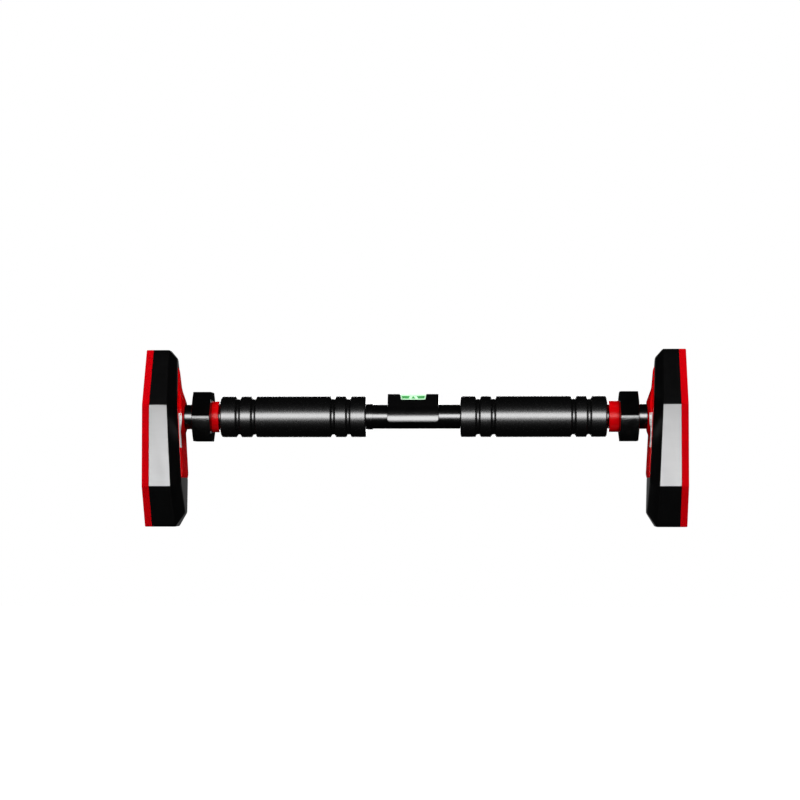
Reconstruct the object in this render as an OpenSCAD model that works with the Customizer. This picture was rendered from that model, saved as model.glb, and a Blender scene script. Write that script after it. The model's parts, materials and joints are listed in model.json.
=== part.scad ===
// Pull up bar for a doorway: a two-part tube with a lead screw in each end.
// X runs along the bar, -Y is the front and +Z is up.
// The origin is on the bar's axis, midway between the two wall faces.

/* [Overall] */
// Distance between the two wall faces, as the bar is stored
overall_len = 865; // [850:1:900]
// Distance between the two wall faces with both screws run right out
max_len = 1350; // [1250:1:1360]
// Offset of the tube's middle from the origin, along X
bar_shift = -2.8; // [-3:0.1:0]

/* [Tube] */
// Outside diameter of the long inner tube
tube_d = 38.8; // [36:0.1:40]
// Wall of the long inner tube
tube_wall = 1.5; // [1:0.1:2]
// Length of the tube from its middle to each end
tube_half = 312; // [308:1:316]
// Outside diameter of the left outer tube
sleeve_d = 41.2; // [41:0.1:42]
// X of the step where the outer tube ends and the inner tube shows
step_x = -67.1; // [-72:0.1:-60]

/* [Grips] */
// Outside diameter of the foam grips
grip_d = 66; // [60:1:70]
// Distance from the tube's middle to a grip's inner end
grip_in = 75.2; // [70:0.1:90]
// Distance from the tube's middle to a grip's outer end
grip_out = 309.4; // [300:0.1:310]
// Distance from a grip's end to its first ring groove
groove_a = 28.6; // [20:0.1:35]
// Distance from a grip's end to its second ring groove
groove_b = 53.3; // [45:0.1:70]
// Depth of a ring groove
groove_depth = 4.2; // [2:0.1:6]

/* [Lead screws] */
// Outside diameter of the lead screws
rod_d = 30; // [26:1:30]
// Advance of a lead screw for one turn
lead = 5; // [4:0.5:6]
// Length of the threaded insert in each end of the tube
insert_len = 28; // [20:1:32]
// Bore of the lead screws
rod_bore_d = 24; // [18:1:24]
// Diameter of the plain journal that carries the wall pad
journal_d = 20; // [16:1:22]

/* [Hand knobs] */
// Size of the hexagonal knob across its flats
knob_af = 79; // [70:1:86]
// Length of the knob along the bar
knob_len = 32; // [26:1:34]
// Depth of the recess that takes the lock ring
recess_depth = 6; // [5.8:0.1:8]
// Diameter of the red lock ring
ring_d = 50; // [44:1:54]
// Length of the red lock ring
ring_len = 16; // [14:0.1:16.2]

/* [Wall pads] */
// Thickness of the rubber that meets the wall
rubber_t = 11.3; // [8:0.1:12]
// Half of the pad's width, front to back
pad_half_w = 60; // [50:1:65]
// Height of the pad above the bar's axis
pad_top = 107.5; // [95:0.5:115]
// Depth of the pad below the bar's axis
pad_bottom = 176.5; // [150:0.5:185]
// Inset of the inboard face from the pad's outline
face_inset = 22; // [16:1:24]
// Wall of the moulded shell
shell_t = 3.2; // [2.4:0.1:4]

/* [Level] */
// Length of the clip-on level
level_len = 82; // [70:1:90]
// Height of the clip's flat top above the bar's axis
level_top = 36; // [34:0.5:40]
// Length of the spirit level's window
vial_len = 43; // [36:1:50]

/* [Hidden] */

$fn = 96;
gap = 0.3;
running = 0.05;
wall_x = overall_len / 2;
tube_r = tube_d / 2;
bore_r = tube_r - tube_wall;
sleeve_r = sleeve_d / 2;
sleeve_bore_r = tube_r + running;
rod_r = rod_d / 2;
rod_bore_r = rod_bore_d / 2;
journal_r = journal_d / 2;
ring_r = ring_d / 2;
left_end_x = bar_shift - tube_half;
right_end_x = bar_shift + tube_half;
tube_start_x = left_end_x + insert_len;

// Distances from a wall face towards the middle of the bar
plate_t = 3;
plate_u = rubber_t;
washer_u = plate_u + plate_t;
washer_t = 3.4;
journal_u = washer_u + washer_t + gap;
clip_u = journal_u + 2;
clip_t = 1.6;
bush_u = clip_u + clip_t + 0.4;
hub_top_u = 54.4;
flange_t = 2.5;
neck_u = hub_top_u + flange_t + gap;
knob_u = 75;
shoulder_u = knob_u + 6;
knob_in_u = knob_u + knob_len;
recess_u = knob_in_u - recess_depth;
pin_u = (shoulder_u + recess_u) / 2;
solid_to_u = knob_in_u + 8;
neck_r = 20;
cover_hub_u = 62;

// Screw travel is shared between the sides, and the right one starts a turn out
side_travel = (max_len - overall_len + lead) / 2;
stop_t = 4;
stop_r = bore_r - 0.7;
left_stop_x = tube_start_x + side_travel + gap;
right_stop_x = right_end_x - insert_len - (side_travel - lead) - gap;
left_rod_end_u = left_stop_x + wall_x;
right_rod_end_u = wall_x - right_stop_x;

// Wall pad outline, as [Y, Z] corners in order around it
top_half_w = 13;
bottom_half_w = 24;
facet_top = 18;
facet_bottom = -112;
outline = [
    [top_half_w, pad_top], [-top_half_w, pad_top],
    [-pad_half_w, facet_top], [-pad_half_w, facet_bottom],
    [-bottom_half_w, -pad_bottom], [bottom_half_w, -pad_bottom],
    [pad_half_w, facet_bottom], [pad_half_w, facet_top]
];
face_top = 94;
face_top_half_w = 7;
cover_top = 80;
cover_bottom = -98;
trim_t = 1.2;

// Corner i of an outline moved in by d: the meeting point of its two moved edges
function edge_normal(p, q) = [p[1] - q[1], q[0] - p[0]] / norm(q - p);
function meet(a, na, b, nb) =
    let (k = na[0] * nb[1] - na[1] * nb[0], ca = a * na, cb = b * nb)
    [(ca * nb[1] - cb * na[1]) / k, (na[0] * cb - nb[0] * ca) / k];
function inset(p, d) = [
    for (i = [0 : len(p) - 1])
        let (
            before = p[(i + len(p) - 1) % len(p)],
            after = p[(i + 1) % len(p)],
            na = edge_normal(before, p[i]),
            nb = edge_normal(p[i], after)
        )
        meet(p[i] + d * na, na, p[i] + d * nb, nb)
];

// Depth of the pad, from the wall face, at height z: along its edge and its face
function crest_u(z) = max(40.6 - 0.048 * z, 36.5);
face_slope = 0.06;
function face_u(z) = 54.2 - face_slope * z;
// Half width of an outline moved in by d, at height z
function half_at(z, d) = min(
    pad_half_w - d,
    top_half_w + (pad_top - z) * (pad_half_w - top_half_w) / (pad_top - facet_top)
        - d * norm([pad_half_w - top_half_w, pad_top - facet_top]) / (pad_top - facet_top)
);
inner_outline = inset(outline, face_inset);
face_outline = concat([[face_top_half_w, face_top], [-face_top_half_w, face_top]],
    [for (i = [2 : 7]) inner_outline[i]]);
cover_inset = face_inset + 0.5;
cover_outline = [
    [half_at(cover_top, cover_inset), cover_top], [-half_at(cover_top, cover_inset), cover_top],
    [-half_at(facet_top - 5, cover_inset), facet_top - 5],
    [-half_at(cover_bottom, cover_inset), cover_bottom],
    [half_at(cover_bottom, cover_inset), cover_bottom],
    [half_at(facet_top - 5, cover_inset), facet_top - 5]
];
screw_spots = [for (side = [-1, 1], z = [35, -45, -105]) [side * (z > 0 ? 20 : 30), z]];
screw_head_r = 4;
screw_head_h = 2;
screw_len = 16;
screw_r = 1.9;

// Level clip, in section: a flat-topped hump over a round skirt that grips the tube
clip_r = 30;
clip_z = -4.1;
clip_lip_z = -10.5;
clip_top_half_w = 11;
clip_hip_half_w = 23;
clip_hip_z = 15;
clip_wall = 2.6;
clip_saddle_t = 2.6;
clip_rib_t = 3;
vial_floor = 26.8;
vial_top = level_top - 1.2;
vial_half_w = 9;
vial_r = 3.2;
vial_z = 31;
liquid_half = 16;
plug_t = 3;

// Rivets, knob pin and rod end
rivet_r = 2.4;
rivet_len = 2.6;
pin_r = 2.5;
pin_top = 28;
stop_spigot_len = 14;
stop_pin_r = 2;

rubber_red = [0.80, 0.02, 0.04];
gloss_black = [0.05, 0.05, 0.055];
foam_black = [0.08, 0.08, 0.085];
steel = [0.62, 0.63, 0.65];

// Placing helpers
module x_rod(x0, x1, r) {
    translate([x0, 0, 0]) rotate([0, 90, 0]) cylinder(h = x1 - x0, r = r);
}
module x_tube(x0, x1, r_out, r_in) {
    difference() {
        x_rod(x0, x1, r_out);
        x_rod(x0 - 1, x1 + 1, r_in);
    }
}
// A solid turned about the X axis from [x, radius] points
module x_turned(points) {
    rotate([0, 90, 0]) rotate_extrude() polygon([for (p = points) [p[1], p[0]]]);
}
module x_prism(x0, x1, points) {
    translate([x0, 0, 0]) rotate([90, 0, 90]) linear_extrude(x1 - x0) polygon(points);
}
module at_left() {
    translate([-wall_x, 0, 0]) children();
}
module at_right() {
    mirror([1, 0, 0]) at_left() children();
}
// A closed shape around rings of [Y, Z] corners, each lifted to its own depth
hull_dot = 0.02;
module ring_hull(rings) {
    hull() for (ring = rings, p = ring) translate(p) cube(hull_dot, center = true);
}
function lifted(points, depths) = [for (i = [0 : len(points) - 1])
    [depths[i], points[i][0], points[i][1]]];
function level_ring(points, u) = lifted(points, [for (p = points) u]);
function crest_ring(points, drop) = lifted(points, [for (p = points) crest_u(p[1]) - drop]);
function face_ring(points, lift) = lifted(points, [for (p = points) face_u(p[1]) + lift]);

// Bar: rivets as [x, radius of the surface they finish flush with]
rivet_spots = [[left_end_x + insert_len / 2, sleeve_r], [-240, sleeve_r], [-110, sleeve_r],
    [right_end_x - insert_len / 2, tube_r]];
module rivet_holes(x_list, r) {
    for (x = x_list) translate([x, 0, 0]) cylinder(h = 120, r = r, center = true);
}
module centre_tube() {
    color(gloss_black) difference() {
        x_tube(tube_start_x, right_end_x, tube_r, bore_r);
        rivet_holes([for (i = [1 : 3]) rivet_spots[i][0]], rivet_r);
    }
}
module left_outer_tube() {
    color(gloss_black) difference() {
        x_tube(left_end_x, step_x, sleeve_r, sleeve_bore_r);
        rivet_holes([for (i = [0 : 2]) rivet_spots[i][0]], rivet_r);
    }
}
module tube_rivets() {
    color(steel) for (spot = rivet_spots, side = [-1, 1])
        translate([spot[0], 0, side * (spot[1] - rivet_len / 2 - 0.1)])
            cylinder(h = rivet_len, r = rivet_r - running, center = true);
}
module thread_insert(x0, r_out) {
    color(steel) difference() {
        x_tube(x0, x0 + insert_len, r_out, rod_r + running);
        rivet_holes([x0 + insert_len / 2], rivet_r);
    }
}
module grip(x0, x1, hole_r) {
    r = grip_d / 2;
    half_top = 4.3;
    half_floor = 1.6;
    starts = [x0 + groove_a, x0 + groove_b, x1 - groove_b, x1 - groove_a];
    grooves = [for (x = starts)
        each [[x - half_top, r], [x - half_floor, r - groove_depth],
              [x + half_floor, r - groove_depth], [x + half_top, r]]];
    color(foam_black) x_turned(concat(
        [[x0, hole_r], [x0, r - 4.5], [x0 + 0.8, r - 1.7], [x0 + 2.5, r]], grooves,
        [[x1 - 2.5, r], [x1 - 0.8, r - 1.7], [x1, r - 4.5], [x1, hole_r]]));
}

// Lock ring: a flat threaded collar that jams against the tube's end
module lock_ring(x0) {
    chamfer = 0.8;
    x1 = x0 + ring_len;
    bore = rod_r + running;
    color(rubber_red) x_turned([[x0, bore], [x0, ring_r - chamfer], [x0 + chamfer, ring_r],
        [x1 - chamfer, ring_r], [x1, ring_r - chamfer], [x1, bore]]);
}

// End assembly, drawn from the wall face towards +X
module neck_bush() {
    color(gloss_black) x_tube(neck_u, knob_u - gap, neck_r, journal_r + running);
}
module screw_rod(end_u) {
    thread_start_u = shoulder_u;
    groove_r = journal_r - 1;
    tip_chamfer = 1;
    color(steel) difference() {
        x_turned([[journal_u, 0], [journal_u, journal_r - tip_chamfer],
            [journal_u + tip_chamfer, journal_r], [clip_u, journal_r], [clip_u, groove_r],
            [clip_u + clip_t, groove_r], [clip_u + clip_t, journal_r],
            [thread_start_u, journal_r], [thread_start_u, rod_r], [end_u, rod_r],
            [end_u, rod_bore_r], [solid_to_u, rod_bore_r], [solid_to_u, 0]]);
        pin_hole();
        translate([end_u - stop_spigot_len / 2, 0, 0])
            cylinder(h = 2 * rod_r + 2, r = stop_pin_r, center = true);
    }
}
// Flange that meets the threaded insert when the screw is right out
module rod_stop(end_u) {
    color(steel) difference() {
        union() {
            x_rod(end_u - stop_spigot_len, end_u, rod_bore_r - running);
            x_rod(end_u, end_u + stop_t, stop_r);
        }
        translate([end_u - stop_spigot_len / 2, 0, 0])
            cylinder(h = 2 * rod_r + 2, r = stop_pin_r, center = true);
    }
}
module stop_pin(end_u) {
    color(steel) translate([end_u - stop_spigot_len / 2, 0, 0])
        cylinder(h = 2 * rod_r - 1, r = stop_pin_r - running, center = true);
}
// The cross pin goes in from the knob's lower flat
module knob_pin() {
    bottom = -knob_af / 2 + 2;
    color(steel) translate([pin_u, 0, bottom])
        cylinder(h = pin_top - bottom, r = pin_r - running);
}
module pin_hole() {
    bottom = -knob_af / 2 - 1;
    translate([pin_u, 0, bottom]) cylinder(h = pin_top + 0.5 - bottom, r = pin_r);
}
module knob() {
    corner_r = knob_af / sqrt(3);
    face_r = knob_af / 2 - 9.5;
    chamfer = 1.2;
    slope_len = chamfer * (corner_r - face_r) / (knob_af / 2 - face_r);
    color(gloss_black) difference() {
        intersection() {
            translate([knob_u, 0, 0]) rotate([0, 90, 0]) rotate([0, 0, 90])
                cylinder(h = knob_len, r = corner_r, $fn = 6);
            x_turned([[knob_u, 0], [knob_u, face_r], [knob_u + slope_len, corner_r],
                [knob_in_u - slope_len, corner_r], [knob_in_u, face_r], [knob_in_u, 0]]);
        }
        x_rod(knob_u - 1, knob_in_u, journal_r);
        x_rod(shoulder_u, knob_in_u + 1, rod_r);
        x_rod(recess_u, knob_in_u + 1, ring_r + gap);
        pin_hole();
    }
}
module retaining_ring() {
    color(steel) x_tube(clip_u, clip_u + clip_t, journal_r + 3.5, journal_r - 1);
}
module swivel_bush() {
    color([0.72, 0.55, 0.25]) difference() {
        union() {
            x_rod(bush_u, hub_top_u, journal_r + 5.5);
            x_rod(hub_top_u, hub_top_u + flange_t, neck_r - 1);
        }
        x_rod(bush_u - 1, hub_top_u + flange_t + 1, journal_r + running);
    }
}
module thrust_washer() {
    color([0.72, 0.55, 0.25]) x_rod(washer_u, washer_u + washer_t, journal_r + 4);
}

// Wall pad
module wall_pad() {
    color(rubber_red) x_prism(0, rubber_t, outline);
}
module backing_plate() {
    screw_clear_r = screw_r + 0.2;
    color(steel) difference() {
        x_prism(plate_u, plate_u + plate_t, inset(outline, shell_t + gap));
        for (spot = screw_spots) translate([0, spot[0], spot[1]])
            x_rod(plate_u - 1, plate_u + plate_t + 1, screw_clear_r);
        for (spot = screw_spots) translate([0, spot[0], spot[1]])
            x_rod(plate_u - 1, plate_u + screw_head_h, screw_head_r);
    }
}
module pad_screws() {
    color(steel) for (spot = screw_spots) translate([0, spot[0], spot[1]]) {
        x_rod(plate_u, plate_u + screw_head_h, screw_head_r);
        x_rod(plate_u + screw_head_h, plate_u + screw_len, screw_r);
    }
}
module trim_outline(u0, margin) {
    polygon([[u0, facet_top - margin], [crest_u(facet_top) - 0.6, facet_top - margin],
        [crest_u(facet_bottom) - 0.6, facet_bottom + margin], [u0, facet_bottom + margin]]);
}
module trim_plate(side) {
    translate([0, side * (pad_half_w - trim_t / 2), 0]) rotate([90, 0, 0])
        linear_extrude(trim_t, center = true) trim_outline(rubber_t + 0.4, 0.6);
}
module side_trims() {
    color([0.80, 0.80, 0.82]) for (side = [-1, 1]) trim_plate(side);
}
module shell_outer() {
    ring_hull([level_ring(outline, rubber_t + hull_dot / 2), crest_ring(outline, 0),
        face_ring(face_outline, 0)]);
}
module shell_cavity() {
    ring_hull([level_ring(inset(outline, shell_t), rubber_t - 0.5),
        crest_ring(inset(outline, shell_t), 1.4),
        face_ring(inset(face_outline, 1.4), -shell_t)]);
}
module pad_shell() {
    hub_r = neck_r + 2;
    boss_r = 5;
    color(gloss_black) difference() {
        union() {
            difference() {
                shell_outer();
                shell_cavity();
            }
            x_rod(washer_u, hub_top_u, hub_r);
            for (spot = screw_spots) translate([0, spot[0], spot[1]])
                x_rod(washer_u, face_u(spot[1]) - shell_t / 2, boss_r);
        }
        x_rod(0, bush_u, journal_r + 5.5);
        x_rod(bush_u - 1, hub_top_u, journal_r + 5.5);
        x_rod(hub_top_u, 80, hub_r + 1);
        for (spot = screw_spots) translate([0, spot[0], spot[1]])
            x_rod(0, plate_u + screw_len + 1, screw_r);
        for (side = [-1, 1]) translate([0, side * (pad_half_w - trim_t / 2), 0])
            rotate([90, 0, 0]) linear_extrude(trim_t, center = true)
                trim_outline(rubber_t, 0.3);
    }
}
// A low plate on the shell's inboard face that rises to a cone round the neck
module pad_cover() {
    lift = 0.05;
    rim = 0.4;
    crown_inset = 10;
    crown = 2.5;
    cone_h = 10;
    cone_foot_r = 52;
    cone_top_r = neck_r + 5;
    crown_outline = [for (p = cover_outline)
        [p[0] * (1 - crown_inset / pad_half_w), p[1] * (1 - crown_inset / pad_bottom)]];
    color(rubber_red) difference() {
        union() {
            ring_hull([face_ring(cover_outline, -0.5), face_ring(cover_outline, rim),
                face_ring(crown_outline, crown)]);
            intersection() {
                translate([cover_hub_u - cone_h, 0, 0]) rotate([0, 90, 0])
                    cylinder(h = cone_h, r1 = cone_foot_r, r2 = cone_top_r);
                x_prism(face_u(0) - 4, cover_hub_u + 1, crown_outline);
            }
        }
        x_rod(0, cover_hub_u + 1, neck_r + gap + 0.1);
        x_rod(0, hub_top_u + flange_t, neck_r + 3);
        ring_hull([level_ring(outline, 0), face_ring(outline, lift)]);
    }
}

// Level clip: springs over the tube and carries the spirit level in its top
level_x0 = bar_shift - level_len / 2;
level_x1 = bar_shift + level_len / 2;
vial_slope = 2;
function vial_window(margin) = [
    [bar_shift - vial_len / 2 + vial_slope + margin, vial_floor + margin],
    [bar_shift + vial_len / 2 - vial_slope - margin, vial_floor + margin],
    [bar_shift + vial_len / 2 - margin, level_top + 1],
    [bar_shift - vial_len / 2 + margin, level_top + 1]
];
module clip_outer() {
    translate([0, 0, clip_z]) x_rod(level_x0, level_x1, clip_r);
    x_prism(level_x0, level_x1, [[-clip_top_half_w, level_top], [clip_top_half_w, level_top],
        [clip_hip_half_w, clip_hip_z], [-clip_hip_half_w, clip_hip_z]]);
}
// Pockets in the skirt, between ribs, leave a saddle of even wall round the tube
module clip_pockets() {
    pockets = 3;
    pitch = (level_len - clip_rib_t) / pockets;
    difference() {
        for (i = [0 : pockets - 1]) translate([0, 0, clip_z])
            x_rod(level_x0 + clip_rib_t + i * pitch, level_x0 + (i + 1) * pitch, clip_r - clip_wall);
        x_rod(level_x0, level_x1, tube_r + clip_saddle_t);
        translate([level_x0, -clip_r, clip_hip_z - 3]) cube([level_len, 2 * clip_r, 40]);
    }
}
module level_clip() {
    color(gloss_black) difference() {
        clip_outer();
        x_rod(level_x0 - 1, level_x1 + 1, tube_r + running);
        translate([level_x0 - 1, -clip_r - 1, clip_lip_z - 50])
            cube([level_len + 2, 2 * clip_r + 2, 50]);
        clip_pockets();
        rotate([90, 0, 0]) linear_extrude(80, center = true) polygon(vial_window(0));
    }
}
module level_vial() {
    color([0.75, 0.95, 0.78, 0.6]) difference() {
        intersection() {
            rotate([90, 0, 0]) linear_extrude(2 * vial_half_w, center = true)
                polygon(vial_window(0.1));
            translate([bar_shift - 40, -40, 0]) cube([80, 80, vial_top]);
        }
        translate([0, 0, vial_z]) x_rod(bar_shift - 40, bar_shift + 40, vial_r);
    }
}
module vial_liquid() {
    color([0.15, 0.75, 0.30, 0.8]) translate([0, 0, vial_z])
        x_rod(bar_shift - liquid_half, bar_shift + liquid_half, vial_r);
}
module vial_plugs() {
    color(gloss_black) for (side = [-1, 1])
        translate([bar_shift + side * (liquid_half + plug_t / 2), 0, vial_z])
            x_rod(-plug_t / 2, plug_t / 2, vial_r);
}

centre_tube();
left_outer_tube();
tube_rivets();
thread_insert(left_end_x, sleeve_bore_r);  // left_thread_insert
thread_insert(right_end_x - insert_len, bore_r);  // right_thread_insert
grip(bar_shift - grip_out, bar_shift - grip_in, sleeve_r);  // left_grip
grip(bar_shift + grip_in, bar_shift + grip_out, tube_r);  // right_grip
lock_ring(left_end_x - gap - ring_len);  // left_lock_ring
lock_ring(right_end_x + gap);  // right_lock_ring
at_left() neck_bush();  // left_neck_bush
at_right() neck_bush();  // right_neck_bush
at_left() screw_rod(left_rod_end_u);  // left_screw_rod
at_right() screw_rod(right_rod_end_u);  // right_screw_rod
at_left() knob();  // left_knob
at_right() knob();  // right_knob
at_left() knob_pin();  // left_knob_pin
at_right() knob_pin();  // right_knob_pin
at_left() rod_stop(left_rod_end_u);  // left_rod_stop
at_right() rod_stop(right_rod_end_u);  // right_rod_stop
at_left() stop_pin(left_rod_end_u);  // left_stop_pin
at_right() stop_pin(right_rod_end_u);  // right_stop_pin
at_left() retaining_ring();  // left_retaining_ring
at_right() retaining_ring();  // right_retaining_ring
at_left() wall_pad();  // left_wall_pad
at_right() wall_pad();  // right_wall_pad
at_left() backing_plate();  // left_backing_plate
at_right() backing_plate();  // right_backing_plate
at_left() pad_shell();  // left_pad_shell
at_right() pad_shell();  // right_pad_shell
at_left() pad_cover();  // left_pad_cover
at_right() pad_cover();  // right_pad_cover
at_left() side_trims();  // left_side_trims
at_right() side_trims();  // right_side_trims
at_left() pad_screws();  // left_pad_screws
at_right() pad_screws();  // right_pad_screws
at_left() swivel_bush();  // left_swivel_bush
at_right() swivel_bush();  // right_swivel_bush
at_left() thrust_washer();  // left_thrust_washer
at_right() thrust_washer();  // right_thrust_washer
level_clip();
level_vial();
vial_liquid();
vial_plugs();
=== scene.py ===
import json
import math

import bmesh
import bpy
from mathutils import Matrix, Vector

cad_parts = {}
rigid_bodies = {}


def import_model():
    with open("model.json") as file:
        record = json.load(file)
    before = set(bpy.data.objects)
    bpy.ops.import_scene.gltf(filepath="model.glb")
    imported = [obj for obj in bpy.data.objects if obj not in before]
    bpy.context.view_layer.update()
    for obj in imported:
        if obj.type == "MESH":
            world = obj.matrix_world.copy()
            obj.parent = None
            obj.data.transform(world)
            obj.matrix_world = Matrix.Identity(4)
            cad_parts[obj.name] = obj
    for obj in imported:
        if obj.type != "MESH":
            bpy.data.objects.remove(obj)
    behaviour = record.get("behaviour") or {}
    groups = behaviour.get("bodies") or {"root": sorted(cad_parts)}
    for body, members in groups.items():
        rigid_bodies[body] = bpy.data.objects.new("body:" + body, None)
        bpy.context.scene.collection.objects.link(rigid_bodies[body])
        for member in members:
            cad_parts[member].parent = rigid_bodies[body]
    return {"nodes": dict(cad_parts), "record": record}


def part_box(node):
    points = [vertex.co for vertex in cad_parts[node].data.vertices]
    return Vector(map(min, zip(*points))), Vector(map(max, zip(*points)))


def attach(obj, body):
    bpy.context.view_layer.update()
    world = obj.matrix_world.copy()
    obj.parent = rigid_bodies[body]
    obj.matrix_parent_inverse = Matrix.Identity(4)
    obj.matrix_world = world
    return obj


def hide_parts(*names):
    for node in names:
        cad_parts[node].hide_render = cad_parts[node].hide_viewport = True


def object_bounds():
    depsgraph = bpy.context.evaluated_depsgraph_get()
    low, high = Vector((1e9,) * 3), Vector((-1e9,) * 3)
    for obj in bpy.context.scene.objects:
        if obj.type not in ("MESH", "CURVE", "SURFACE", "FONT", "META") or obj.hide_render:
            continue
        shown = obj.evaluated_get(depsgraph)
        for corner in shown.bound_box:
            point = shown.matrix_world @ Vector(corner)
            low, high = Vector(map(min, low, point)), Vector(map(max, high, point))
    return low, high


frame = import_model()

cad_low, cad_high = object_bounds()

# ---------------------------------------------------------------- positions from the CAD frame
MM = 0.001
SIDES = (("left", -1), ("right", 1))
WALL_X = (cad_high.x - cad_low.x) / 2
ROD_R = 15 * MM
JOURNAL_R = 10 * MM
RUNNING_CLEARANCE = 0.05 * MM


def size_of(node):
    low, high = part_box(node)
    return low, high, high - low


def radius_of(node):
    return size_of(node)[2].z / 2


def u_span(side, node):
    """Where a node starts and ends, as distances in from its own wall face."""
    low, high, _ = size_of(node)
    ends = sorted((WALL_X - side * low.x, WALL_X - side * high.x))
    return ends[0], ends[1]


# ---------------------------------------------------------------- mesh helpers
def finish_mesh(name, bm, smooth_deg=32.0):
    bmesh.ops.remove_doubles(bm, verts=bm.verts, dist=2e-6)
    bmesh.ops.recalc_face_normals(bm, faces=bm.faces)
    mesh = bpy.data.meshes.new(name)
    bm.to_mesh(mesh)
    bm.free()
    mesh.shade_smooth()
    mesh.set_sharp_from_angle(angle=math.radians(smooth_deg))
    obj = bpy.data.objects.new(name, mesh)
    bpy.context.scene.collection.objects.link(obj)
    return obj


def fillet(points, closed=True, steps=5):
    """A polyline in 2D or 3D with a radius on each corner: [(x, y, ..., radius), ...] to plain points."""
    count = len(points)
    out = []
    for i, item in enumerate(points):
        p, radius = Vector(item[:-1]), item[-1]
        if radius <= 0 or (not closed and i in (0, count - 1)):
            out.append(p)
            continue
        a = Vector(points[i - 1][:-1]) - p
        b = Vector(points[(i + 1) % count][:-1]) - p
        if a.length < 1e-9 or b.length < 1e-9:
            out.append(p)
            continue
        angle = a.angle(b)
        reach = min(radius / math.tan(angle / 2), a.length * 0.48, b.length * 0.48)
        start, end = p + a.normalized() * reach, p + b.normalized() * reach
        for k in range(steps + 1):
            t = k / steps
            # a quadratic through the corner, close enough to an arc and the same in 2D and 3D
            out.append(start * (1 - t) ** 2 + p * (2 * t * (1 - t)) + end * t ** 2)
    return out


def add_loops(bm, loops, closed_profile=True, cap=False):
    """Quads between loops of points that each close on themselves."""
    rings = [[bm.verts.new(p) for p in loop] for loop in loops]
    pairs = list(zip(rings, rings[1:]))
    if closed_profile:
        pairs.append((rings[-1], rings[0]))
    for one, two in pairs:
        for i in range(len(one)):
            j = (i + 1) % len(one)
            bm.faces.new((one[i], one[j], two[j], two[i]))
    if cap:
        bm.faces.new(rings[0])
        bm.faces.new(rings[-1][::-1])


def add_lathe(bm, profile, segments=96, centre=(0.0, 0.0)):
    """A profile of (x, radius) turned about the X direction through centre = (y, z). It closes on itself,
    or on the axis where its first and last radius are 0."""
    on_axis = profile[0][1] < 1e-9 and profile[-1][1] < 1e-9
    body = profile[1:-1] if on_axis else profile
    loops = []
    for x, r in body:
        loops.append([
            (x, centre[0] + r * math.cos(2 * math.pi * k / segments),
             centre[1] + r * math.sin(2 * math.pi * k / segments))
            for k in range(segments)
        ])
    add_loops(bm, loops, closed_profile=not on_axis, cap=on_axis)


def lathe(name, profile, segments=96, side=None, steps=5, smooth_deg=32.0):
    """profile: (x, radius, fillet radius). With side, x is a distance in from that side's wall face."""
    rounded = fillet(profile, closed=profile[0][1] > 0, steps=steps)
    if side is not None:
        rounded = [Vector((side * (WALL_X - p[0]), p[1])) for p in rounded]
    bm = bmesh.new()
    add_lathe(bm, rounded, segments)
    return finish_mesh(name, bm, smooth_deg)


def to_side(side, u, y, z):
    return (side * (WALL_X - u), y, z)


def inset(points, d):
    """A convex outline of (y, z) corners with every edge moved in by d."""
    centre = sum((Vector(p) for p in points), Vector((0, 0))) / len(points)
    lines = []
    for i, p in enumerate(points):
        p, q = Vector(p), Vector(points[(i + 1) % len(points)])
        normal = Vector((-(q - p).y, (q - p).x)).normalized()
        if normal.dot(centre - p) < 0:
            normal = -normal
        lines.append((normal, normal.dot(p) + d))
    out = []
    for i in range(len(points)):
        (a, ca), (b, cb) = lines[i - 1], lines[i]
        k = a.x * b.y - a.y * b.x
        out.append(((ca * b.y - cb * a.y) / k, (a.x * cb - b.x * ca) / k))
    return out


def rounded_loop(corners, radii, corner_steps=4, side_steps=6):
    """A closed outline as points: every corner a small arc, every straight edge divided up."""
    arcs = []
    count = len(corners)
    for i, c in enumerate(corners):
        p = Vector(c)
        a = Vector(corners[i - 1]) - p
        b = Vector(corners[(i + 1) % count]) - p
        reach = min(radii[i] / math.tan(a.angle(b) / 2), a.length * 0.45, b.length * 0.45)
        s, e = p + a.normalized() * reach, p + b.normalized() * reach
        arcs.append([s * (1 - t) ** 2 + p * (2 * t * (1 - t)) + e * t ** 2
                     for t in (k / corner_steps for k in range(corner_steps + 1))])
    out = []
    for i, arc in enumerate(arcs):
        out.extend(arc)
        end, start = arc[-1], arcs[(i + 1) % count][0]
        out.extend(end.lerp(start, k / side_steps) for k in range(1, side_steps))
    return out


def boolean_cut(obj, cutter):
    mod = obj.modifiers.new("cut", "BOOLEAN")
    mod.object, mod.operation, mod.solver = cutter, "DIFFERENCE", "EXACT"
    dg = bpy.context.evaluated_depsgraph_get()
    mesh = bpy.data.meshes.new_from_object(obj.evaluated_get(dg))
    obj.modifiers.clear()
    old = obj.data
    obj.data = mesh
    mesh.name = old.name
    bpy.data.meshes.remove(old)
    bpy.data.objects.remove(cutter)
    mesh.shade_smooth()
    mesh.set_sharp_from_angle(angle=math.radians(32))


def place(obj, body, material, replaces=()):
    obj.data.materials.clear()
    obj.data.materials.append(material)
    if replaces:
        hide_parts(*replaces)
    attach(obj, body)
    return obj


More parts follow.
